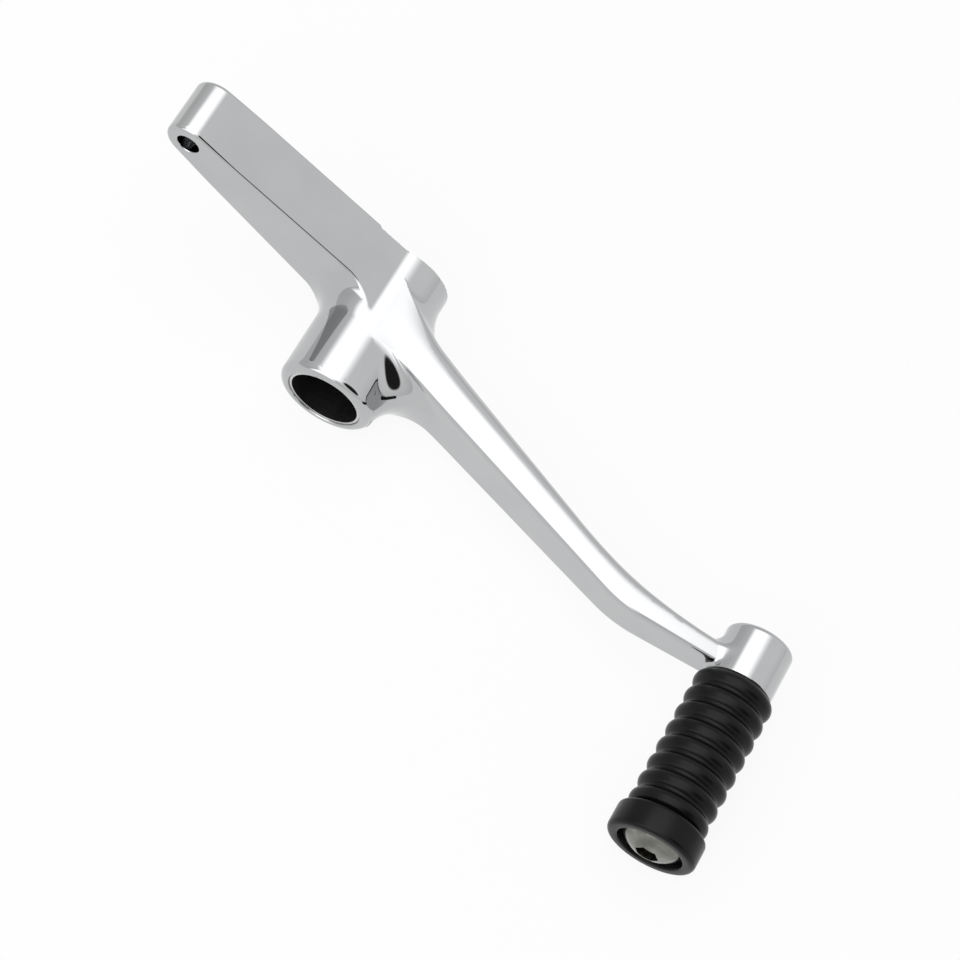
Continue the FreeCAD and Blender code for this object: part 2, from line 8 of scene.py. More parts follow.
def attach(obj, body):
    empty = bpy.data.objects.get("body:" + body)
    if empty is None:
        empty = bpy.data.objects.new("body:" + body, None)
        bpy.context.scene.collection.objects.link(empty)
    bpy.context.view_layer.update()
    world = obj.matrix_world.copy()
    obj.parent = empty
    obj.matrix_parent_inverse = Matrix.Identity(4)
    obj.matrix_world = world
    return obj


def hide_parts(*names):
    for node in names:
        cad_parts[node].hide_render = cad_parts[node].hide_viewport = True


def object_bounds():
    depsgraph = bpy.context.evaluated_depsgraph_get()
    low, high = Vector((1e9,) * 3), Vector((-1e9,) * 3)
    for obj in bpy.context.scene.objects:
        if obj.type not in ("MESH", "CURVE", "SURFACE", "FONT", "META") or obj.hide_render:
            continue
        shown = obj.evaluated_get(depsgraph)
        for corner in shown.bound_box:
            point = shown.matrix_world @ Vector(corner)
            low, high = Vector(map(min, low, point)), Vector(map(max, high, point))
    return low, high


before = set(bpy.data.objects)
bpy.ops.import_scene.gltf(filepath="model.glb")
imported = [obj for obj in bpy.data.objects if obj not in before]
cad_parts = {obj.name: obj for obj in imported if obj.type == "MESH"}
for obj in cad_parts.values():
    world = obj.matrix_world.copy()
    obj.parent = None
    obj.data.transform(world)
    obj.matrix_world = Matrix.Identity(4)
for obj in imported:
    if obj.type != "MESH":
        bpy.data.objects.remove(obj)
cad_low, cad_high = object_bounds()

MM = 0.001

# Sizes in millimetres, in the part's own frame: pivot axis along Y, toe peg along +X, outboard to -Y.
HUB_RADIUS = 14.1
HUB_END = 22.5
HUB_LIP = 2.4
BORE_RADIUS = 11.0
SPOT_RADIUS = 20.7
LINK_REACH = 72.5
LINK_RISE = math.radians(29.9)
LINK_TIP_RADIUS = 6.8
LINK_OUTBOARD = 5.9
LINK_INBOARD = 23.1
LINK_FLARE = 8.0
LINK_ROOT_RADIUS = 12.5
LINK_ROOT_FILLET = 6.0
LINK_HOLE_RADIUS = 3.3
LINK_EDGE = 0.6
NOSE_ROUND = 0.7
NOSE_START = 60.0
NOSE_RUN = 14.0
TOE_REACH = 135.0
ARM_OUTBOARD = {"root": -1.7, "bend": 97.2, "toe": -34.4, "radius": 42.0}
ARM_INBOARD = {"root": 13.3, "bend": 101.0, "toe": -28.5, "radius": 130.0}
ARM_ROOT_HALF = 12.4
ARM_SWEEP_RADIUS = 300.0
ARM_TOE_HALF = 6.2
ARM_CROWN = 17.5
ARM_CROWN_START = 4.0
ARM_CROWN_FULL = 36.0
ARM_EDGE = 1.8
ARM_SOFT_SHARE = 0.28
ARM_EDGE_RUN = 9.0
ROOT_FILLET_TOP = 2.5
ROOT_FILLET_OUTBOARD = 16.0
ROOT_FILLET_INBOARD = 10.5
ROOT_FILLET_POWER = 1.5
BOSS_RADIUS = 9.8
BOSS_SEAT = -35.6
BOSS_INBOARD = -20.2
BOSS_ROUND = 1.6
BOSS_FILLET = 5.2
BOSS_SEAT_FILLET = 1.0
BOSS_TOP_SHARE = 0.6
SCREW_HOLE_RADIUS = 5.05
SCREW_HOLE_DEPTH = 13.4
CRISP = 0.4
BUSH_INNER = 10.0
BUSH_OUTER = BORE_RADIUS
BUSH_ENDS = ((-22.0, -3.0), (3.0, 22.0))
# The width of the band at the bushes' bores that is painted near-black as painted shade.
BUSH_PAINTED_SHADE_BAND = 0.3
BUSH_INNER_BREAK = 0.2
BUSH_OUTER_BREAK = 0.3

# The grid on which the casting's surface is found, in millimetres, and how finely its faces are split.
GRID_STEP = 0.9
GRID_LOW = (-72.0, -38.0, -16.0)
GRID_HIGH = (148.0, 25.0, 45.0)
EVEN_ROUNDS = 2
REFINE_ROUNDS = 2
FINEST_TURN = math.radians(10)

# The peg's pieces are measured along its axis from the boss's seat, outboard.
RUBBER_BORE = 7.5
RUBBER_GROOVE = 10.0
RUBBER_BREAK = 0.2
SEAT_BREAK = 0.1
RIB_HEIGHT = 1.45
RIB_PITCH = 5.45
RIB_GROOVE = 0.9
RIB_COUNT = 8
RIB_FILLET = 0.35
RIB_SAMPLES = 26
FLANGE_START = 43.9
FLANGE_RADIUS = 12.8
FLANGE_FILLET = 0.15
FLANGE_BACK_ROUND = 1.2
FLANGE_END_ROUND = 1.5
RUBBER_LENGTH = 52.0
RECESS_RADIUS = 9.45
RECESS_FLOOR = 46.3
RECESS_LIP = 0.5
RECESS_FILLET = 0.3
HEAD_BEARING = 48.5
HEAD_RADIUS = 9.2
HEAD_BREAK = 0.2
HEAD_RIM = 1.0
HEAD_CROWN = 54.0
DOME_RISE = HEAD_CROWN - HEAD_BEARING - HEAD_RIM
DOME_RADIUS = (DOME_RISE ** 2 + HEAD_RADIUS ** 2) / (2 * DOME_RISE)
DOME_STEPS = 24
HEX_HALF = 3.0
HEX_DEPTH = 3.2
HEX_BREAK = 0.15
SOCKET_SHOULDER_SHARE = 0.9
SOCKET_SHOULDER_FALL = 0.1
SOCKET_POINT_RADIUS = 0.1
SOCKET_POINT_FALL = 1.2
SHANK_RADIUS = 5.0
SCREW_TIP = -11.5
TIP_FACE_RADIUS = 2.8
TIP_EDGE_RADIUS = 4.0
TIP_EDGE_RISE = 0.1
THREAD_RUN_IN = 0.8
THREAD_START = 3.0
THREAD_PITCH = 1.5
THREAD_DEPTH = 0.92
THREAD_STEPS = 12
THREAD_STEEPNESS = 1.25
THREAD_CREST = 0.12
SEGMENTS = 96
SHARP_ANGLE = math.radians(40)

# The screw's mesh has its two end faces first, and the rows of its socket last.
SOCKET_FLOOR_FACE = 1
SOCKET_ROWS = 3

# The photograph's view: angles, focal length in pixels, and the hub's mouth at its distance and pixel.
VIEW_AZIMUTH = math.radians(7.0)
VIEW_HEIGHT = math.radians(65.078)
VIEW_ROLL = math.radians(23.462)
VIEW_FOCAL = 3136.0
VIEW_DISTANCE = 848.9
MOUTH_PIXEL = (323.2, 400.2)
IMAGE_SIZE = 960
SENSOR_WIDTH = 36.0

# The studio: tones that metal mirrors, by height; one unlit patch; soft light; the floor in metres; lamps.
ROOM_SLANT = (0.3, 0, 0.85)
ROOM_TONES = ((0.0, 0.72), (0.3, 0.86), (0.6, 1.0))
UNLIT_TOWARD = (0.66, -0.44, 0.61)
UNLIT_CORE = math.radians(18)
UNLIT_EDGE = math.radians(23)
UNLIT_STRENGTH = 0.02
SOFT_STRENGTH = 0.45
FLOOR_HALF = 6.0
FLOOR_CELLS = 8
FLOOR_GAP = 0.0001
FLOOR_COLOUR = (0.9, 0.9, 0.9, 1)
FLOOR_WHITE_SHARE = 0.9
LAMP_RADIANCE = 1.4
TINT_SPAN = (0.3, 0.7)


def round_cut(a, b, radius):
    """What lies inside both fields, with the edge between them rounded."""
    corner = np.hypot(np.maximum(a + radius, 0), np.maximum(b + radius, 0))
    return corner + np.minimum(np.maximum(a, b), -radius)


def round_join(a, b, radius):
    """What lies inside either field, with a fillet in the corner between them."""
    corner = np.hypot(np.maximum(radius - a, 0), np.maximum(radius - b, 0))
    return np.maximum(np.minimum(a, b), radius) - corner


def gradient(field, points, reach=0.01):
    """The slope of a field at each point, by differences along the three axes."""
    columns = []
    for axis in range(3):
        shift = np.zeros(3)
        shift[axis] = reach
        columns.append((field(points + shift) - field(points - shift)) / (2 * reach))
    return np.stack(columns, axis=1)


def rise_between(value, low, high):
    """Grows smoothly from 0 at low to 1 at high."""
    part = np.clip((value - low) / (high - low), 0, 1)
    return part * part * (3 - 2 * part)


def hub(points):
    """The pivot hub, with a rounded mouth outboard and a crisp edge inboard."""
    x, y, z = points.T
    side = np.hypot(x, z) - HUB_RADIUS
    mouth = round_cut(side, -y - HUB_END, HUB_LIP)
    return round_cut(mouth, y - HUB_END, CRISP)


def led_from_hub(along, across, root, lean, sweep):
    """Distance to an outline seen along the pivot: the hub's circle, a concave arc and a straight side.

    The side lies at root from the pivot and closes in by lean on its way out.
    """
    across = np.abs(across)
    level = math.sqrt(1 - lean * lean)
    run = along * level - across * lean
    out = across * level + along * lean
    far = HUB_RADIUS + sweep
    high = root + sweep
    start = math.sqrt(far * far - high * high)
    circle = np.hypot(run, out) - HUB_RADIUS
    concave = sweep - np.hypot(run - start, out - high)
    near = np.where(run * high > out * start, concave, circle)
    return np.where(run < start, near, out - root), run


def link_side(along, across):
    """Distance to the link arm's outline, which ends in a round tip."""
    lean = (LINK_ROOT_RADIUS - LINK_TIP_RADIUS) / LINK_REACH
    side, run = led_from_hub(along, across, LINK_ROOT_RADIUS, lean, LINK_ROOT_FILLET)
    tip = np.hypot(across, along - LINK_REACH) - LINK_TIP_RADIUS
    return np.where(run > math.sqrt(1 - lean * lean) * LINK_REACH, tip, side)


def link_arm(points):
    """The link arm, whose outboard face sweeps into the hub in a concave flare; its nose is rounder."""
    x, y, z = points.T
    along = z * math.sin(LINK_RISE) - x * math.cos(LINK_RISE)
    across = z * math.cos(LINK_RISE) + x * math.sin(LINK_RISE)
    round_by = LINK_EDGE + NOSE_ROUND * np.clip((along - NOSE_START) / NOSE_RUN, 0, 1)
    radius = np.hypot(x, z)
    turn = HUB_RADIUS + LINK_FLARE
    lowest = LINK_OUTBOARD - LINK_FLARE
    face = LINK_FLARE - np.hypot(np.minimum(radius - turn, 0), np.maximum(y - lowest, 0))
    face = np.where(y < lowest, np.maximum(face, lowest - y), face)
    side = link_side(along, across)
    arm = round_cut(round_cut(side, face, round_by), y - LINK_INBOARD, round_by)
    return np.maximum(arm, np.minimum(SPOT_RADIUS - radius, y - HUB_END))


def bent_side(x, root, bend, toe, radius):
    """Where one side of the toe arm lies at each x, and its slope's cosine: line, arc and level run."""
    slope = (toe - root) / bend
    angle = math.atan(-slope)
    back = radius * math.tan(angle / 2)
    start = bend - back * math.cos(angle)
    finish = bend + back
    t = np.clip(x, start, finish) - finish
    rise = np.sqrt(radius * radius - t * t)
    place = np.where(x < start, root + slope * x, toe + radius - rise)
    steep = np.where(x < start, slope, t / rise)
    return place, 1 / np.sqrt(1 + steep * steep)


def boss(points):
    """The round boss that carries the peg."""
    x, y, z = points.T
    side = np.hypot(x - TOE_REACH, z) - BOSS_RADIUS
    inboard = round_cut(side, y - BOSS_INBOARD, BOSS_ROUND)
    return round_cut(inboard, BOSS_SEAT - y, CRISP)


def arm_sides(points, off_hub, outer, inner):
    """Distances to the two sides of the toe arm; each is filleted into the hub, least at the top."""
    _, y, z = points.T
    flank = np.where(z > 0, np.maximum(1 - (z / HUB_RADIUS) ** 2, 0) ** ROOT_FILLET_POWER, 1)
    outboard = ROOT_FILLET_TOP + (ROOT_FILLET_OUTBOARD - ROOT_FILLET_TOP) * flank
    inboard = ROOT_FILLET_TOP + (ROOT_FILLET_INBOARD - ROOT_FILLET_TOP) * flank
    out_side = round_join((outer[0] - y) * outer[1], off_hub, outboard)
    in_side = round_join((y - inner[0]) * inner[1], off_hub, inboard)
    return out_side, in_side


def toe_arm(points):
    """The offset arm: two bent sides with fillets at both ends, and a slight crown.

    Its outboard edges are crisp and its inboard ones soft. Its depth tapers to the toe, and near the hub
    it sweeps up to the hub's own top.
    """
    x, y, z = points.T
    off_hub = np.hypot(x, z) - HUB_RADIUS
    outer = bent_side(np.maximum(x, 0), **ARM_OUTBOARD)
    inner = bent_side(np.maximum(x, 0), **ARM_INBOARD)
    off_middle = np.clip(y, outer[0], inner[0]) - (outer[0] + inner[0]) / 2
    crowned = rise_between(x, ARM_CROWN_START, ARM_CROWN_FULL)
    crown = off_middle * off_middle / (2 * ARM_CROWN) * crowned
    lean = (ARM_ROOT_HALF - ARM_TOE_HALF) / TOE_REACH
    depth, _ = led_from_hub(x, z, ARM_ROOT_HALF, lean, ARM_SWEEP_RADIUS)
    out_side, in_side = arm_sides(points, off_hub, outer, inner)
    grown = rise_between(off_hub, 0, ARM_EDGE_RUN)
    soft = round_cut(in_side, depth + crown, ARM_SOFT_SHARE * (inner[0] - outer[0]) * grown)
    arm = np.maximum(round_cut(soft, out_side, ARM_EDGE * grown), x - TOE_REACH)
    return np.where(off_hub < 0, np.maximum(arm, hub(points)), arm)


def casting(points):
    """The solid casting; the boss's fillet is small at its seat and on top, and large inboard."""
    arms = np.minimum(link_arm(points), toe_arm(points))
    inboard = rise_between(points[:, 1], ARM_OUTBOARD["toe"], ARM_INBOARD["toe"])
    topmost = rise_between(np.abs(points[:, 2]), ARM_TOE_HALF / 2, ARM_TOE_HALF)
    grown = inboard * (1 - BOSS_TOP_SHARE * topmost)
    fillet = BOSS_SEAT_FILLET + (BOSS_FILLET - BOSS_SEAT_FILLET) * grown
    return round_join(np.minimum(hub(points), arms), boss(points), fillet)


def lever(points):
    """The whole casting with its bush bore, shift rod hole and screw hole."""
    x, y, z = points.T
    tip_x = -LINK_REACH * math.cos(LINK_RISE)
    tip_z = LINK_REACH * math.sin(LINK_RISE)
    bore = BORE_RADIUS - np.hypot(x, z)
    rod = LINK_HOLE_RADIUS - np.hypot(x - tip_x, z - tip_z)
    screw = SCREW_HOLE_RADIUS - np.hypot(x - TOE_REACH, z)
    screw = np.minimum(screw, BOSS_SEAT + SCREW_HOLE_DEPTH - y)
    solid = round_cut(casting(points), bore, CRISP)
    solid = round_cut(solid, rod, CRISP)
    return round_cut(solid, screw, CRISP)


def sample(field, axes):
    """Values of a field on a regular grid, one slab at a time."""
    across, up = np.meshgrid(axes[1], axes[2], indexing="ij")
    values = np.empty([len(axis) for axis in axes])
    for i, x in enumerate(axes[0]):
        slab = np.stack([np.full(across.size, x), across.ravel(), up.ravel()], axis=1)
        values[i] = field(slab).reshape(across.shape)
    return values


def crossing_points(values, cells, axes, step):
    """For each crossed cell, the mean of the points where its edges cross the surface."""
    total = np.zeros((len(cells), 3))
    count = np.zeros(len(cells))
    corners = np.array([(i, j, k) for i in (0, 1) for j in (0, 1) for k in (0, 1)])
    for start in corners:
        for axis in np.flatnonzero(start == 0):
            end = start.copy()
            end[axis] = 1
            a = values[tuple((cells + start).T)]
            b = values[tuple((cells + end).T)]
            crossed = (a < 0) != (b < 0)
            part = np.where(crossed, a / np.where(crossed, a - b, 1), 0)
            place = start + part[:, None] * (end - start)
            total[crossed] += place[crossed]
            count += crossed
    origin = np.array([axis[0] for axis in axes])
    return origin + step * (cells + total / count[:, None])


def corners_inside(inside):
    """How many of each grid cell's eight corners lie inside."""
    count = inside.astype(int)
    for axis in range(3):
        last = count.shape[axis] - 1
        count = np.take(count, range(last), axis) + np.take(count, range(1, last + 1), axis)
    return count


def surface_net(field, low, high, step):
    """Points and quads on the zero level of a field, one point in each crossed grid cell."""
    axes = [np.arange(low[i], high[i] + step, step) for i in range(3)]
    values = sample(field, axes)
    inside = values < 0
    filled = corners_inside(inside)
    crossed = (filled > 0) & (filled < 8)
    cells = np.argwhere(crossed)
    number = np.full(crossed.shape, -1)
    number[crossed] = np.arange(len(cells))
    quads = []
    for axis in range(3):
        second, third = (axis + 1) % 3, (axis + 2) % 3
        lower = np.take(inside, range(inside.shape[axis] - 1), axis)
        upper = np.take(inside, range(1, inside.shape[axis]), axis)
        edges = np.argwhere(lower != upper)
        leaving = lower[tuple(edges.T)]
        ring = []
        for back_second, back_third in ((1, 1), (0, 1), (0, 0), (1, 0)):
            cell = edges.copy()
            cell[:, second] -= back_second
            cell[:, third] -= back_third
            ring.append(number[tuple(cell.T)])
        ring = np.stack(ring, axis=1)
        ring[~leaving] = ring[~leaving][:, ::-1]
        quads.append(ring)
    return crossing_points(values, cells, axes, step), np.concatenate(quads)


def settle(field, points, rounds=4, longest=0.3, flattest=0.05):
    """Moves points along the slope on to the surface of a field."""
    for _ in range(rounds):
        slope = gradient(field, points)
        move = field(points) / np.maximum(np.sum(slope * slope, axis=1), flattest)
        points = points - np.clip(move, -longest, longest)[:, None] * slope
    return points


def even_out(points, quads, amount=0.5):
    """Moves each point part of the way to the mean of its neighbours."""
    total = np.zeros_like(points)
    count = np.zeros(len(points))
    for i in range(4):
        for j in ((i + 1) % 4, (i + 3) % 4):
            np.add.at(total, quads[:, i], points[quads[:, j]])
            np.add.at(count, quads[:, i], 1)
    return points + amount * (total / count[:, None] - points)


def unit(vectors):
    """Each vector at a length of one."""
    return vectors / np.linalg.norm(vectors, axis=1)[:, None]


def mesh_points(mesh):
    """A mesh's points in millimetres."""
    flat = np.empty(3 * len(mesh.vertices))
    mesh.vertices.foreach_get("co", flat)
    return flat.reshape(-1, 3) / MM


def set_points(mesh, points):
    """Moves a mesh's points to places in millimetres."""
    mesh.vertices.foreach_set("co", (points * MM).astype(np.float32).ravel())
    mesh.update()


def refine(mesh, field, widest):
    """Splits faces over which the surface turns by more than an angle, and settles the new points."""
    points = mesh_points(mesh)
    normals = unit(gradient(field, points))
    bm = bmesh.new()
    bm.from_mesh(mesh)
    limit = math.cos(widest)
    split = set()
    for face in bm.faces:
        turned = normals[[vert.index for vert in face.verts]]
        if np.min(turned @ turned.T) < limit:
            split.update(face.edges)
    bmesh.ops.subdivide_edges(bm, edges=list(split), cuts=1, use_grid_fill=True)
    bm.to_mesh(mesh)
    bm.free()
    set_points(mesh, settle(field, mesh_points(mesh)))


def place_piece(name, mesh, node, materials):
    """Puts a mesh in the scene in place of one CAD node."""
    piece = bpy.data.objects.new(name, mesh)
    for material in materials:
        mesh.materials.append(material)
    bpy.context.scene.collection.objects.link(piece)
    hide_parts(node)
    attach(piece, "root")
    return piece


def make_lever(chrome):
    """The plated casting as one smooth skin, finest along its edges."""
    points, quads = surface_net(lever, GRID_LOW, GRID_HIGH, GRID_STEP)
    points = settle(lever, points)
    for _ in range(EVEN_ROUNDS):
        points = settle(lever, even_out(points, quads), rounds=2)
    mesh = bpy.data.meshes.new("lever_skin")
    mesh.from_pydata((points * MM).tolist(), [], quads.tolist())
    for _ in range(REFINE_ROUNDS):
        refine(mesh, lever, FINEST_TURN)
    set_points(mesh, np.clip(mesh_points(mesh), np.array(cad_low) / MM, np.array(cad_high) / MM))
    mesh.validate()
    mesh.shade_smooth()
    normals = unit(gradient(lever, mesh_points(mesh)))
    mesh.normals_split_custom_set_from_vertices(normals.tolist())
    place_piece("lever_skin", mesh, "shift_lever", [chrome])


def ring_about(x, radius, y):
    """A ring of points about a line parallel to Y; radius and y may differ from point to point."""
    turn = np.arange(SEGMENTS) * 2 * math.pi / SEGMENTS
    radius = np.broadcast_to(radius, SEGMENTS)
    along = np.broadcast_to(y, SEGMENTS)
    return np.stack([x + radius * np.cos(turn), along, radius * np.sin(turn)], axis=1)


def skin(name, rings, closed):
    """A mesh through rings of points; a closed row joins last to first, and an open one is capped."""
    bm = bmesh.new()
    rows = [[bm.verts.new(point * MM) for point in ring] for ring in rings]
    pairs = list(zip(rows, rows[1:]))
    if closed:
        pairs.append((rows[-1], rows[0]))
    else:
        bm.faces.new(rows[0])
        bm.faces.new(rows[-1])
    for near, far in pairs:
        for i in range(SEGMENTS):
            j = (i + 1) % SEGMENTS
            bm.faces.new((near[i], near[j], far[j], far[i]))
    bmesh.ops.recalc_face_normals(bm, faces=bm.faces)
    mesh = bpy.data.meshes.new(name)
    bm.to_mesh(mesh)
    bm.free()
    mesh.shade_smooth()
    mesh.set_sharp_from_angle(angle=SHARP_ANGLE)
    return mesh


def rounded(corners, steps=6):
    """Points of a closed section (radius, along), where each corner's third number is its rounding."""
    points = []
    for i, (radius, along, rounding) in enumerate(corners):
        corner = np.array((radius, along))
        if not rounding:
            points.append(corner)
            continue
        back = np.array(corners[i - 1][:2]) - corner
        ahead = np.array(corners[(i + 1) % len(corners)][:2]) - corner
        back, ahead = unit(np.stack([back, ahead]))
        half = math.acos(back @ ahead) / 2
        middle = back + ahead
        centre = corner + middle / np.linalg.norm(middle) * rounding / math.sin(half)
        start = corner + back * rounding / math.tan(half) - centre
        finish = corner + ahead * rounding / math.tan(half) - centre
        sweep = math.pi - 2 * half
        for part in np.linspace(0, 1, steps):
            arm = math.sin((1 - part) * sweep) * start + math.sin(part * sweep) * finish
            points.append(centre + arm / math.sin(sweep))
    return points


def rib_stand(along):
    """How far the ribs stand off the sleeve of the rubber, with a small fillet in each groove."""
    middle = (np.floor(along / RIB_PITCH) + 0.5) * RIB_PITCH
    chord = (RIB_PITCH - RIB_GROOVE) / 2
    arc = (chord * chord + RIB_HEIGHT * RIB_HEIGHT) / (2 * RIB_HEIGHT)
    height = np.sqrt(np.maximum(arc * arc - (along - middle) ** 2, 0)) - arc + RIB_HEIGHT
    near = np.maximum(RIB_FILLET - np.abs(height), 0)
    return np.maximum(height, 0) + near * near / (4 * RIB_FILLET)


def make_rubber(rubber):
    """The toe rubber: rounded ribs, and a flange recessed for the screw's head."""
    along = np.linspace(0, RIB_COUNT * RIB_PITCH, RIB_COUNT * RIB_SAMPLES + 1)[1:]
    ribs = [(RUBBER_GROOVE + stand, place, 0) for stand, place in zip(rib_stand(along), along)]
    section = rounded([
        (RUBBER_BORE, 0, RUBBER_BREAK),
        (RUBBER_GROOVE, 0, SEAT_BREAK),
        *ribs,
        (RUBBER_GROOVE, FLANGE_START, FLANGE_FILLET),
        (FLANGE_RADIUS, FLANGE_START, FLANGE_BACK_ROUND),
        (FLANGE_RADIUS, RUBBER_LENGTH, FLANGE_END_ROUND),
        (RECESS_RADIUS, RUBBER_LENGTH, RECESS_LIP),
        (RECESS_RADIUS, RECESS_FLOOR, RECESS_FILLET),
        (RUBBER_BORE, RECESS_FLOOR, RUBBER_BREAK),
    ])
    rings = [ring_about(TOE_REACH, radius, BOSS_SEAT - along) for radius, along in section]
    place_piece("toe_rubber", skin("toe_rubber", rings, True), "peg_rubber", [rubber])


def make_bush(name, node, ends, steel, bore_painted_shade):
    """A steel bush with broken edges, whose bore is painted near-black as painted shade."""
    start, end = ends
    section = rounded([
        (BUSH_INNER, start, BUSH_INNER_BREAK),
        (BUSH_OUTER, start, BUSH_OUTER_BREAK),
        (BUSH_OUTER, end, BUSH_OUTER_BREAK),
        (BUSH_INNER, end, BUSH_INNER_BREAK),
    ])
    mesh = skin(name, [ring_about(0, radius, y) for radius, y in section], True)
    # Faces of the bore take the near-black painted shade; the ends and outside keep the steel.
    for face in mesh.polygons:
        middle = math.hypot(face.center.x, face.center.z) / MM
        face.material_index = int(middle < BUSH_INNER + BUSH_PAINTED_SHADE_BAND / 2)
    place_piece(name, mesh, node, [steel, bore_painted_shade])


def hexagon():
    """Distance from the screw's axis to the sides of its socket, for each point of a ring."""
    turn = np.arange(SEGMENTS) * 2 * math.pi / SEGMENTS
    return HEX_HALF / np.cos(turn % (math.pi / 3) - math.pi / 6)


def thread_rings():
    """Rings of the screw's threaded end, from its tip to the start of the thread."""
    turn = np.arange(SEGMENTS) / SEGMENTS
    rings = []
    for along in np.arange(SCREW_TIP + THREAD_RUN_IN, THREAD_START, THREAD_PITCH / THREAD_STEPS):
        phase = (along / THREAD_PITCH - turn) % 1
        depth = np.clip(THREAD_STEEPNESS * np.abs(2 * phase - 1) - THREAD_CREST, 0, 1)
        fade = np.clip((THREAD_START - along) / THREAD_PITCH, 0, 1)
        rings.append((SHANK_RADIUS - THREAD_DEPTH * fade * depth, along))
    return rings


def dome_height(radius):
    """How far along the peg the screw's domed head lies at a distance from its axis."""
    return HEAD_CROWN - DOME_RADIUS + np.sqrt(DOME_RADIUS ** 2 - radius ** 2)


def head_rows():
    """The screw's domed head and its hex socket, from the bearing face to the socket's point."""
    hexes = hexagon()
    rows = [(HEAD_RADIUS - HEAD_BREAK, HEAD_BEARING), (HEAD_RADIUS, HEAD_BEARING + HEAD_BREAK)]
    for part in np.linspace(1, 0, DOME_STEPS):
        radius = hexes + HEX_BREAK + part * (HEAD_RADIUS - hexes - HEX_BREAK)
        rows.append((radius, dome_height(radius)))
    floor = HEAD_CROWN - HEX_DEPTH
    rows.append((hexes, dome_height(hexes) - HEX_BREAK))
    rows.append((hexes, floor))
    rows.append((hexes * SOCKET_SHOULDER_SHARE, floor - SOCKET_SHOULDER_FALL))
    rows.append((SOCKET_POINT_RADIUS, floor - SOCKET_POINT_FALL))
    return rows


def make_screw(zinc, shade):
    """The button-head screw: threaded shank, domed head and hex socket, whose inside is painted dark as
    painted shade.
    """
    rows = [(TIP_FACE_RADIUS, SCREW_TIP), (TIP_EDGE_RADIUS, SCREW_TIP + TIP_EDGE_RISE)]
    rows += thread_rings()
    rows += [(SHANK_RADIUS, along) for along in (THREAD_START, HEAD_BEARING)]
    rows += head_rows()
    rings = [ring_about(TOE_REACH, radius, BOSS_SEAT - along) for radius, along in rows]
    mesh = skin("button_screw", rings, False)
    faces = len(mesh.polygons)
    # Material 1, on the socket's floor and walls, is painted shade: a darker colour for the shade inside
    # the socket.
    for face in (SOCKET_FLOOR_FACE, *range(faces - SOCKET_ROWS * SEGMENTS, faces)):
        mesh.polygons[face].material_index = 1
    place_piece("button_screw", mesh, "peg_screw", [zinc, shade])


def new_material(name):
    """A material with one shader on its surface, and its nodes and links."""
    material = bpy.data.materials.new(name)
    material.use_nodes = True
    nodes = material.node_tree.nodes
    nodes.clear()
    output = nodes.new("ShaderNodeOutputMaterial")
    shader = nodes.new("ShaderNodeBsdfPrincipled")
    material.node_tree.links.new(shader.outputs["BSDF"], output.inputs["Surface"])
    return material, nodes, material.node_tree.links, shader


def drift(nodes, links, scale, detail=2.0):
    """Slow noise over the piece, for colour and haze that are never quite even."""
    place = nodes.new("ShaderNodeTexCoord")
    noise = nodes.new("ShaderNodeTexNoise")
    noise.inputs["Scale"].default_value = scale
    noise.inputs["Detail"].default_value = detail
    links.new(place.outputs["Object"], noise.inputs["Vector"])
    return noise.outputs["Fac"]


def tint(nodes, links, factor, shader, dark, light):
    """Lets the shader's colour drift between two."""
    ramp = nodes.new("ShaderNodeValToRGB")
    for element, position, colour in zip(ramp.color_ramp.elements, TINT_SPAN, (dark, light)):
        element.position = position
        element.color = (*colour, 1)
    links.new(factor, ramp.inputs["Fac"])
    links.new(ramp.outputs["Color"], shader.inputs["Base Color"])


def haze(nodes, links, factor, shader, low, high):
    """Lets the shader's roughness drift between two values."""
    span = nodes.new("ShaderNodeMapRange")
    span.inputs["To Min"].default_value = low
    span.inputs["To Max"].default_value = high
    links.new(factor, span.inputs["Value"])
    links.new(span.outputs["Result"], shader.inputs["Roughness"])


def grain(nodes, links, factor, shader, strength, depth):
    """Gives the shader a fine uneven surface."""
    bump = nodes.new("ShaderNodeBump")
    bump.inputs["Strength"].default_value = strength
    bump.inputs["Distance"].default_value = depth
    links.new(factor, bump.inputs["Height"])
    links.new(bump.outputs["Normal"], shader.inputs["Normal"])


def chrome_material():
    """Bright plating with faint drifts of tone and haze."""
    material, nodes, links, shader = new_material("chrome_plate")
    shader.inputs["Metallic"].default_value = 1.0
    wave = drift(nodes, links, scale=60.0)
    tint(nodes, links, wave, shader, dark=(0.455, 0.46, 0.468), light=(0.483, 0.486, 0.491))
    haze(nodes, links, wave, shader, low=0.03, high=0.07)
    return material


def rubber_material():
    """Moulded black rubber with a dull sheen, faint mottling and a fine grain."""
    material, nodes, links, shader = new_material("black_rubber")
    shader.inputs["Specular IOR Level"].default_value = 0.15
    mottle = drift(nodes, links, scale=180.0, detail=4.0)
    tint(nodes, links, mottle, shader, dark=(0.003, 0.003, 0.0032), light=(0.006, 0.0059, 0.0059))
    haze(nodes, links, mottle, shader, low=0.22, high=0.34)
    pores = drift(nodes, links, scale=2600.0, detail=3.0)
    grain(nodes, links, pores, shader, strength=0.25, depth=0.00005)
    return material


def zinc_material():
    """Dull zinc plating with a faint warm cast."""
    material, nodes, links, shader = new_material("zinc_steel")
    shader.inputs["Metallic"].default_value = 1.0
    cloud = drift(nodes, links, scale=260.0, detail=4.0)
    tint(nodes, links, cloud, shader, dark=(0.13, 0.134, 0.119), light=(0.25, 0.254, 0.23))
    haze(nodes, links, cloud, shader, low=0.16, high=0.3)
    pores = drift(nodes, links, scale=1800.0, detail=3.0)
    grain(nodes, links, pores, shader, strength=0.12, depth=0.00004)
    return material


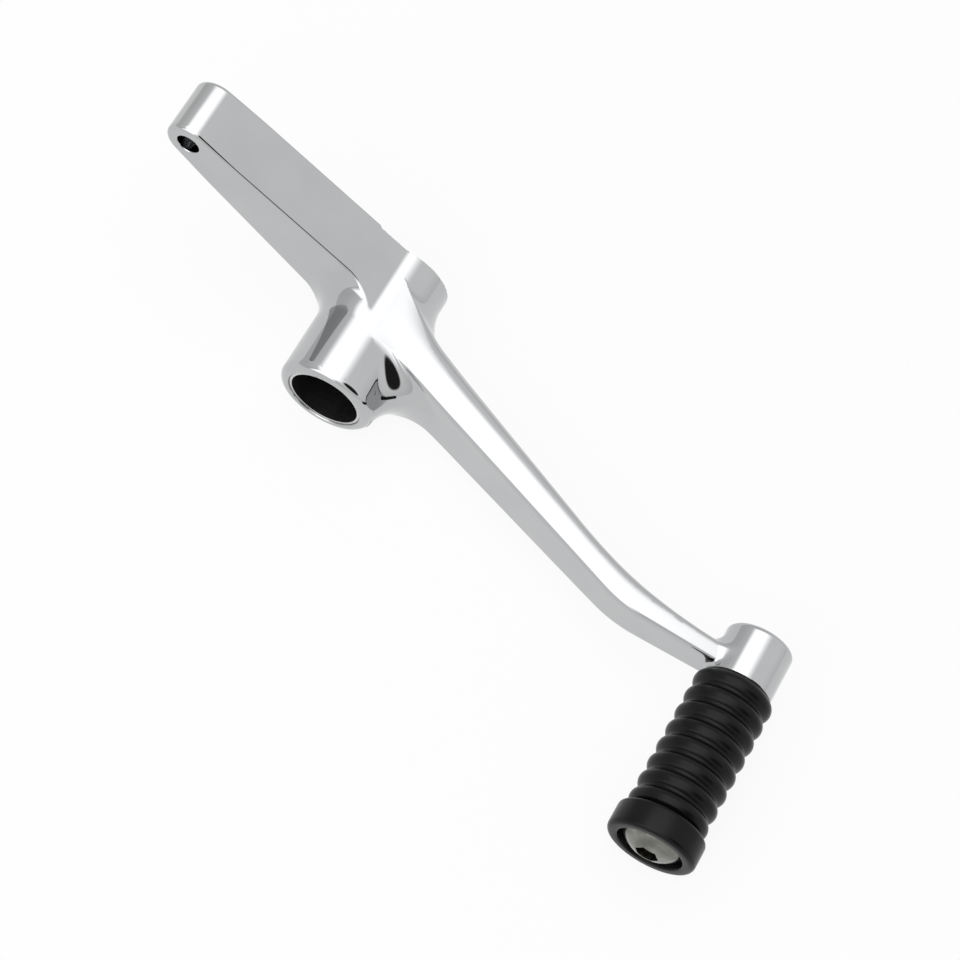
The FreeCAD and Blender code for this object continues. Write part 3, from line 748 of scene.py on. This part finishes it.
def socket_painted_shade_material():
    """Painted shade: the inside of the screw's hex socket in a darker colour that stands in for the shade
    in it.
    """
    material, nodes, links, shader = new_material("socket_painted_shade")
    shader.inputs["Metallic"].default_value = 1.0
    cloud = drift(nodes, links, scale=700.0, detail=3.0)
    tint(nodes, links, cloud, shader, dark=(0.05, 0.048, 0.04), light=(0.14, 0.136, 0.115))
    haze(nodes, links, cloud, shader, low=0.25, high=0.4)
    return material


def steel_material():
    """Turned steel on the ends of the bushes."""
    material, nodes, links, shader = new_material("bush_steel")
    shader.inputs["Metallic"].default_value = 1.0
    cloud = drift(nodes, links, scale=400.0, detail=3.0)
    tint(nodes, links, cloud, shader, dark=(0.5, 0.5, 0.495), light=(0.6, 0.6, 0.595))
    haze(nodes, links, cloud, shader, low=0.18, high=0.3)
    return material


def bore_painted_shade_material():
    """Painted shade for the bushes' bores: near-black, dull and a little uneven."""
    material, nodes, links, shader = new_material("bush_bore_painted_shade")
    shader.inputs["Specular IOR Level"].default_value = 0.2
    cloud = drift(nodes, links, scale=500.0, detail=3.0)
    tint(nodes, links, cloud, shader, dark=(0.004, 0.004, 0.004), light=(0.009, 0.009, 0.0088))
    haze(nodes, links, cloud, shader, low=0.5, high=0.65)
    return material


def dress_carried_nodes(zinc):
    """The spacer tube and the spring washer keep their CAD form and take the zinc finish."""
    for node in ("peg_sleeve", "peg_lock_washer"):
        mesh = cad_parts[node].data
        mesh.materials.clear()
        mesh.materials.append(zinc)


def make_camera():
    """The photograph's view: long lens, high from the outboard side, rolled clockwise."""
    back = Vector((
        math.sin(VIEW_AZIMUTH) * math.cos(VIEW_HEIGHT),
        -math.cos(VIEW_AZIMUTH) * math.cos(VIEW_HEIGHT),
        math.sin(VIEW_HEIGHT),
    ))
    level = Vector((math.cos(VIEW_AZIMUTH), math.sin(VIEW_AZIMUTH), 0))
    upright = back.cross(level)
    right = level * math.cos(VIEW_ROLL) + upright * math.sin(VIEW_ROLL)
    up = upright * math.cos(VIEW_ROLL) - level * math.sin(VIEW_ROLL)
    off_x, off_y = [(pixel - IMAGE_SIZE / 2) / VIEW_FOCAL * VIEW_DISTANCE for pixel in MOUTH_PIXEL]
    mouth = Vector((0, -HUB_END, 0))
    place = mouth + back * VIEW_DISTANCE - right * off_x + up * off_y
    data = bpy.data.cameras.new("photo_camera")
    data.sensor_width = SENSOR_WIDTH
    data.lens = VIEW_FOCAL / IMAGE_SIZE * SENSOR_WIDTH
    camera = bpy.data.objects.new("photo_camera", data)
    camera.matrix_world = Matrix((
        (right.x, up.x, back.x, place.x * MM),
        (right.y, up.y, back.y, place.y * MM),
        (right.z, up.z, back.z, place.z * MM),
        (0, 0, 0, 1),
    ))
    bpy.context.scene.collection.objects.link(camera)
    bpy.context.scene.camera = camera


def any_ray(nodes, links, names):
    """One where a ray is of any of the named kinds, else zero."""
    path = nodes.new("ShaderNodeLightPath")
    result = path.outputs[names[0]]
    for name in names[1:]:
        either = nodes.new("ShaderNodeMath")
        either.operation = "MAXIMUM"
        links.new(result, either.inputs[0])
        links.new(path.outputs[name], either.inputs[1])
        result = either.outputs["Value"]
    return result


def background(nodes, strength):
    """White light of a given strength."""
    shade = nodes.new("ShaderNodeBackground")
    shade.inputs["Color"].default_value = (1, 1, 1, 1)
    shade.inputs["Strength"].default_value = strength
    return shade


def mixed(nodes, links, factor, first, second):
    """The first shader where factor is zero, and the second where it is one."""
    mix = nodes.new("ShaderNodeMixShader")
    links.new(factor, mix.inputs["Fac"])
    links.new(first, mix.inputs[1])
    links.new(second, mix.inputs[2])
    return mix.outputs["Shader"]


def room_tone(nodes, links, place):
    """White overhead, and a little grey towards the horizon."""
    slant = nodes.new("ShaderNodeVectorMath")
    slant.operation = "DOT_PRODUCT"
    slant.inputs[1].default_value = ROOM_SLANT
    links.new(place, slant.inputs[0])
    ramp = nodes.new("ShaderNodeValToRGB")
    ramp.color_ramp.elements.new(ROOM_TONES[1][0])
    for element, (height, tone) in zip(ramp.color_ramp.elements, ROOM_TONES):
        element.position = height
        element.color = (tone, tone, tone, 1)
    links.new(slant.outputs["Value"], ramp.inputs["Fac"])
    return ramp.outputs["Color"]


def unlit_patch(nodes, links, place):
    """One over most of the room, and next to nothing in a round patch of it."""
    toward = nodes.new("ShaderNodeVectorMath")
    toward.operation = "DOT_PRODUCT"
    toward.inputs[1].default_value = Vector(UNLIT_TOWARD).normalized()
    links.new(place, toward.inputs[0])
    unlit = nodes.new("ShaderNodeMapRange")
    unlit.interpolation_type = "SMOOTHSTEP"
    unlit.inputs["From Min"].default_value = math.cos(UNLIT_EDGE)
    unlit.inputs["From Max"].default_value = math.cos(UNLIT_CORE)
    unlit.inputs["To Min"].default_value = 1.0
    unlit.inputs["To Max"].default_value = UNLIT_STRENGTH
    links.new(toward.outputs["Value"], unlit.inputs["Value"])
    return unlit.outputs["Result"]


def studio_tone(nodes, links):
    """The room that metal mirrors: white, a little grey towards the horizon, unlit at one side."""
    place = nodes.new("ShaderNodeTexCoord").outputs["Generated"]
    shade = background(nodes, 1.0)
    links.new(room_tone(nodes, links, place), shade.inputs["Color"])
    links.new(unlit_patch(nodes, links, place), shade.inputs["Strength"])
    return shade.outputs["Background"]


def make_world():
    """White for the camera, the studio's tones for reflections, and even soft light for the rest."""
    world = bpy.data.worlds.new("studio")
    bpy.context.scene.world = world
    world.use_nodes = True
    nodes = world.node_tree.nodes
    links = world.node_tree.links
    nodes.clear()
    output = nodes.new("ShaderNodeOutputWorld")
    soft = background(nodes, SOFT_STRENGTH).outputs["Background"]
    seen = background(nodes, 1.0).outputs["Background"]
    mirrored = any_ray(nodes, links, ("Is Glossy Ray", "Is Transmission Ray"))
    lit = mixed(nodes, links, mirrored, soft, studio_tone(nodes, links))
    shown = mixed(nodes, links, any_ray(nodes, links, ("Is Camera Ray",)), lit, seen)
    links.new(shown, output.inputs["Surface"])


def floor_material():
    """A matt pale surface that shows nearly white to the camera and to metal, and keeps a soft shadow."""
    material = bpy.data.materials.new("studio_floor")
    material.use_nodes = True
    nodes = material.node_tree.nodes
    links = material.node_tree.links
    nodes.clear()
    output = nodes.new("ShaderNodeOutputMaterial")
    matt = nodes.new("ShaderNodeBsdfDiffuse")
    matt.inputs["Color"].default_value = FLOOR_COLOUR
    glow = nodes.new("ShaderNodeEmission")
    share = nodes.new("ShaderNodeMath")
    share.operation = "MULTIPLY"
    share.inputs[1].default_value = FLOOR_WHITE_SHARE
    seen = any_ray(nodes, links, ("Is Camera Ray", "Is Glossy Ray", "Is Transmission Ray"))
    links.new(seen, share.inputs[0])
    white = mixed(nodes, links, share.outputs["Value"], matt.outputs["BSDF"], glow.outputs["Emission"])
    links.new(white, output.inputs["Surface"])
    return material


def make_floor():
    """A plain pale floor just below the object."""
    bm = bmesh.new()
    bmesh.ops.create_grid(bm, x_segments=FLOOR_CELLS, y_segments=FLOOR_CELLS, size=FLOOR_HALF)
    mesh = bpy.data.meshes.new("floor")
    bm.to_mesh(mesh)
    bm.free()
    mesh.materials.append(floor_material())
    floor = bpy.data.objects.new("floor", mesh)
    floor.location = (0, 0, cad_low[2] - FLOOR_GAP)
    bpy.context.scene.collection.objects.link(floor)


def lamp_face(nodes, links, fades):
    """A lamp's strength over its face, which grows from nothing at each of its four edges."""
    where = nodes.new("ShaderNodeNewGeometry")
    split = nodes.new("ShaderNodeSeparateXYZ")
    links.new(where.outputs["Parametric"], split.inputs["Vector"])
    edges = (("X", 0.0, 1), ("X", 1.0, -1), ("Y", 0.0, 1), ("Y", 1.0, -1))
    strength = None
    for (axis, edge, way), fade in zip(edges, fades):
        grow = nodes.new("ShaderNodeMapRange")
        grow.interpolation_type = "SMOOTHSTEP"
        grow.inputs["From Min"].default_value = edge
        grow.inputs["From Max"].default_value = edge + way * fade
        links.new(split.outputs[axis], grow.inputs["Value"])
        if strength is None:
            strength = grow.outputs["Result"]
            continue
        times = nodes.new("ShaderNodeMath")
        times.operation = "MULTIPLY"
        links.new(strength, times.inputs[0])
        links.new(grow.outputs["Result"], times.inputs[1])
        strength = times.outputs["Value"]
    return strength


def make_softbox(name, centre, aim, width, height, fades):
    """A large soft lamp, in metres.

    The fades say how far in its light grows from each edge, as shares of its width and its height: two for
    the edges across its width, then two for those across its height.
    """
    data = bpy.data.lights.new(name, "AREA")
    data.shape = "RECTANGLE"
    data.size = width
    data.size_y = height
    data.energy = LAMP_RADIANCE * math.pi * width * height
    data.use_nodes = True
    nodes = data.node_tree.nodes
    links = data.node_tree.links
    links.new(lamp_face(nodes, links, fades), nodes["Emission"].inputs["Strength"])
    lamp = bpy.data.objects.new(name, data)
    lamp.location = centre
    lamp.rotation_mode = "QUATERNION"
    lamp.rotation_quaternion = (Vector(centre) - Vector(aim)).to_track_quat("Z", "Y")
    lamp.visible_camera = False
    bpy.context.scene.collection.objects.link(lamp)


make_camera()
make_world()
make_floor()
make_softbox(
    "top_softbox",
    centre=(-0.3, -0.5, 1.35),
    aim=(-0.3, -0.5, 0),
    width=2.2,
    height=3.16,
    fades=(0.36, 0.3, 0.14, 0.047),
)
make_softbox(
    "side_softbox",
    centre=(-0.68, -1.55, 0.7),
    aim=(-0.68, 0, 0.7),
    width=1.7,
    height=1.4,
    fades=(0.2, 0.2, 0.35, 0.001),
)
zinc = zinc_material()
make_lever(chrome_material())
make_rubber(rubber_material())
steel = steel_material()
bore_painted_shade = bore_painted_shade_material()
make_bush("outer_bush_ring", "outer_bush", BUSH_ENDS[0], steel, bore_painted_shade)
make_bush("inner_bush_ring", "inner_bush", BUSH_ENDS[1], steel, bore_painted_shade)
make_screw(zinc, socket_painted_shade_material())
dress_carried_nodes(zinc)

bpy.context.scene.view_settings.view_transform = "Standard"
